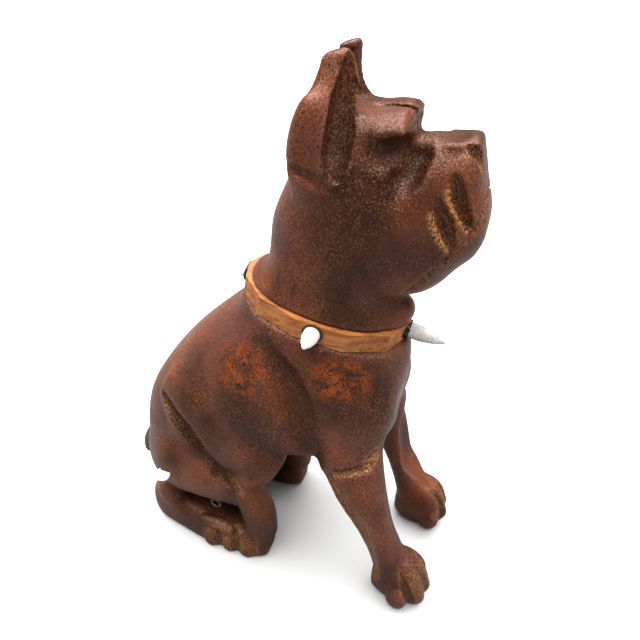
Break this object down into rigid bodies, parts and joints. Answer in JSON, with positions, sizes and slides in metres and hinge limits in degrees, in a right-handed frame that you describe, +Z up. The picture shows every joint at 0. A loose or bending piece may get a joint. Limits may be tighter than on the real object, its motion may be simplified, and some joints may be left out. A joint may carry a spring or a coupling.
{
  "type": "wooden still bank",
  "caption": "Carved wooden still bank: a seated dog looking up, with a spiked collar, a coin slot in its back and a sliding cover underneath.",
  "frame": {"origin": "middle of the footprint box, on the surface that the feet stand on", "axes": "+Z up, -Y the way the dog faces, +X the dog's left"},
  "size_m": [0.068, 0.1598, 0.23],
  "materials": {
    "stained_wood": "waxed satin",
    "bare_wood": "satin",
    "dowel_wood": "matte",
    "runner_wood": "satin",
    "horn": "satin",
    "bone": "satin",
    "black_glue": "gloss",
    "brass": "aged",
    "eye_brass": "dull, darkened"
  },
  "bodies": {
    "dog": {"body": "stained_wood", "head": "stained_wood", "neck_dowel": "dowel_wood", "collar": "bare_wood", "front_spike": "horn", "right_spike": "bone", "left_spike": "bone", "back_spike": "bone", "spike_glue": "black_glue", "left_runner": "runner_wood", "right_runner": "runner_wood", "runner_pins": "brass", "screw_eye": "eye_brass"},
    "cover": {"coin_cover": "runner_wood"}
  },
  "joints": [
    {"name": "cover_slide", "type": "slide", "parent": "dog", "child": "cover", "axis": [0, -1, 0], "range_m": [0, 0.046]}
  ]
}
